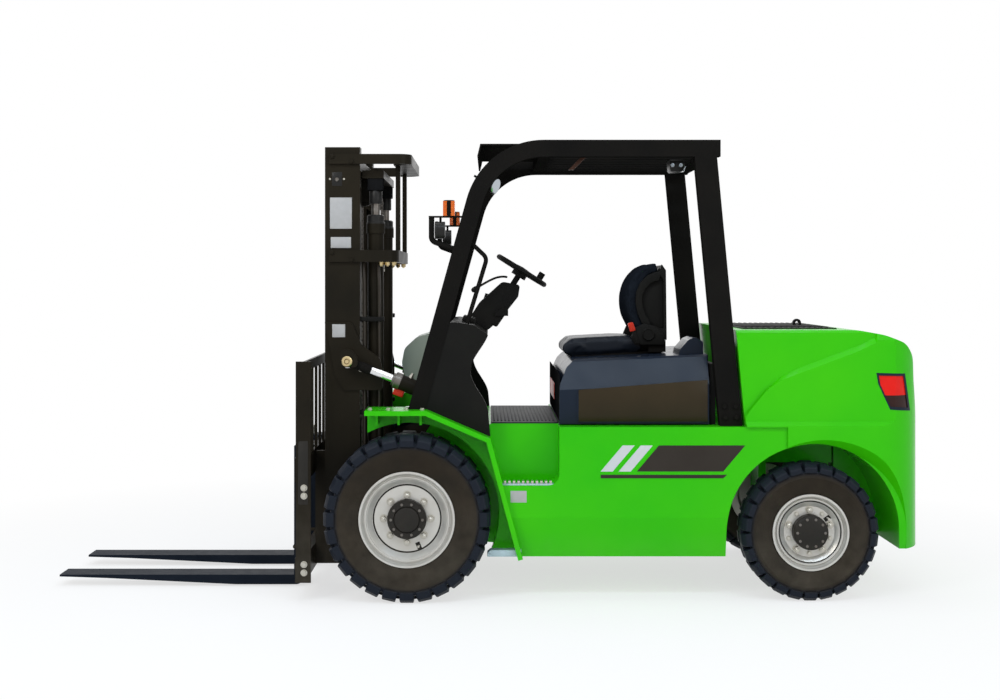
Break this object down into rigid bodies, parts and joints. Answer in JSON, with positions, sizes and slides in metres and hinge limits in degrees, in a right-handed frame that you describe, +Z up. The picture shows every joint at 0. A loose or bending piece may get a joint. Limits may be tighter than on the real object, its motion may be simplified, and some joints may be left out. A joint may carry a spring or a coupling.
{
  "type": "counterbalance forklift truck",
  "caption": "Counterbalanced electric forklift truck with a two-stage mast, tilting uprights, load backrest, forks, overhead guard, hinged seat hood and rear-wheel steering",
  "frame": {"origin": "on the floor under the middle of the overall box", "axes": "+X forwards along the forks, +Y to the driver's left, +Z up"},
  "size_m": [4.42, 1.48, 2.296],
  "materials": {
    "green_paint": "gloss",
    "black_paint": "satin",
    "mast_paint": "satin",
    "black_plastic": "textured",
    "gloss_plastic": "gloss",
    "rim_paint": "satin",
    "tyre": "moulded",
    "chrome": "polished",
    "steel": "oiled",
    "cast": "painted",
    "vinyl": "grained",
    "mat_rubber": "ribbed",
    "amber_lens": "clear",
    "red_lens": "clear",
    "lamp_body": "clear",
    "battery_case": "satin",
    "cover_plastic": "moulded"
  },
  "bodies": {
    "chassis": {"frame": "green_paint", "side_panels": "green_paint", "fenders": "green_paint", "floor_mat": "mat_rubber", "drive_axle": "cast", "steer_axle": "cast", "counterweight": "green_paint", "counterweight_cover": "black_plastic", "tail_lamps": "red_lens", "tail_bezels": "gloss_plastic", "tow_pin": "steel", "front_cover": "cover_plastic", "lamp_brackets": "black_paint", "guard_legs": "black_paint", "guard_posts": "black_paint", "guard_roof": "black_paint", "cowl_panels": "black_plastic", "dashboard": "black_plastic", "steering_column": "black_plastic", "pedals": "mat_rubber", "control_levers": "black_plastic", "head_lamps": "lamp_body", "signal_lamps": "amber_lens", "grab_handles": "black_paint", "battery_pack": "battery_case", "rear_panel": "black_plastic"},
    "hood": {"hood_shell": "gloss_plastic", "seat_frame": "black_paint", "seat_cushion": "vinyl", "seat_backrest": "vinyl", "seat_back_shell": "black_plastic"},
    "outer_mast": {"outer_rails": "mast_paint", "outer_crossmembers": "mast_paint", "mast_hangers": "mast_paint", "tilt_brackets": "mast_paint", "lift_barrels": "mast_paint"},
    "inner_mast": {"inner_rails": "mast_paint", "inner_crossmembers": "mast_paint", "lift_rods": "chrome", "lift_chains": "steel"},
    "carriage": {"fork_bars": "mast_paint", "carriage_plates": "mast_paint", "load_backrest": "mast_paint", "forks": "mast_paint"},
    "tilt_barrel_left": {"tilt_barrel_left": "mast_paint"},
    "tilt_barrel_right": {"tilt_barrel_right": "mast_paint"},
    "tilt_rod_left": {"tilt_rod_left": "chrome"},
    "tilt_rod_right": {"tilt_rod_right": "chrome"},
    "front_wheel_left": {"front_tyre_left": "tyre", "front_rim_left": "rim_paint"},
    "front_wheel_right": {"front_tyre_right": "tyre", "front_rim_right": "rim_paint"},
    "knuckle_left": {"knuckle_left": "cast"},
    "knuckle_right": {"knuckle_right": "cast"},
    "rear_wheel_left": {"rear_tyre_left": "tyre", "rear_rim_left": "rim_paint"},
    "rear_wheel_right": {"rear_tyre_right": "tyre", "rear_rim_right": "rim_paint"},
    "steering_wheel": {"steering_wheel": "black_plastic"}
  },
  "joints": [
    {"name": "mast_tilt", "type": "hinge", "parent": "chassis", "child": "outer_mast", "pos_m": [0.38, 0, 0.413], "axis": [0, 1, 0], "range_deg": [-10, 6]},
    {"name": "mast_lift", "type": "slide", "parent": "outer_mast", "child": "inner_mast", "axis": [0, 0, 1], "range_m": [0, 1.5]},
    {"name": "carriage_lift", "type": "slide", "parent": "inner_mast", "child": "carriage", "axis": [0, 0, 1], "range_m": [0, 1.5]},
    {"name": "hood_open", "type": "hinge", "parent": "chassis", "child": "hood", "pos_m": [-1.154, 0, 1.195], "axis": [0, -1, 0], "range_deg": [0, 55]},
    {"name": "steer_left", "type": "hinge", "parent": "chassis", "child": "knuckle_left", "pos_m": [-1.62, 0.49, 0.341], "axis": [0, 0, 1], "range_deg": [-65, 65]},
    {"name": "steer_right", "type": "hinge", "parent": "chassis", "child": "knuckle_right", "pos_m": [-1.62, -0.49, 0.341], "axis": [0, 0, 1], "range_deg": [-65, 65]},
    {"name": "steering_wheel_turn", "type": "hinge", "parent": "chassis", "child": "steering_wheel", "pos_m": [-0.202, 0, 1.645], "axis": [-0.5299, 0, 0.848], "range_deg": [-900, 900]},
    {"name": "tilt_barrel_left", "type": "hinge", "parent": "chassis", "child": "tilt_barrel_left", "pos_m": [0.08, 0.482, 0.935], "axis": [0, 1, 0], "range_deg": [-9.08, 5.45]},
    {"name": "tilt_rod_left", "type": "slide", "parent": "tilt_barrel_left", "child": "tilt_rod_left", "axis": [0.929, 0, 0.3701], "range_m": [-0.10442, 0.06265]},
    {"name": "front_wheel_left", "type": "hinge", "parent": "chassis", "child": "front_wheel_left", "pos_m": [0.38, 0.5925, 0.413], "axis": [0, 1, 0], "continuous": true},
    {"name": "rear_wheel_left", "type": "hinge", "parent": "knuckle_left", "child": "rear_wheel_left", "pos_m": [-1.62, 0.595, 0.341], "axis": [0, 1, 0], "continuous": true},
    {"name": "tilt_barrel_right", "type": "hinge", "parent": "chassis", "child": "tilt_barrel_right", "pos_m": [0.08, -0.482, 0.935], "axis": [0, 1, 0], "range_deg": [-9.08, 5.45]},
    {"name": "tilt_rod_right", "type": "slide", "parent": "tilt_barrel_right", "child": "tilt_rod_right", "axis": [0.929, 0, 0.3701], "range_m": [-0.10442, 0.06265]},
    {"name": "front_wheel_right", "type": "hinge", "parent": "chassis", "child": "front_wheel_right", "pos_m": [0.38, -0.5925, 0.413], "axis": [0, 1, 0], "continuous": true},
    {"name": "rear_wheel_right", "type": "hinge", "parent": "knuckle_right", "child": "rear_wheel_right", "pos_m": [-1.62, -0.595, 0.341], "axis": [0, 1, 0], "continuous": true}
  ],
  "couplings": [
    {"joint": "carriage_lift", "follows": "mast_lift", "ratio": 1},
    {"joint": "steer_right", "follows": "steer_left", "ratio": 1},
    {"joint": "steering_wheel_turn", "follows": "steer_left", "ratio": -13.846},
    {"joint": "tilt_barrel_left", "follows": "mast_tilt", "ratio": 0.90797},
    {"joint": "tilt_rod_left", "follows": "mast_tilt", "m_per_rad": 0.59828},
    {"joint": "tilt_barrel_right", "follows": "mast_tilt", "ratio": 0.90797},
    {"joint": "tilt_rod_right", "follows": "mast_tilt", "m_per_rad": 0.59828}
  ]
}
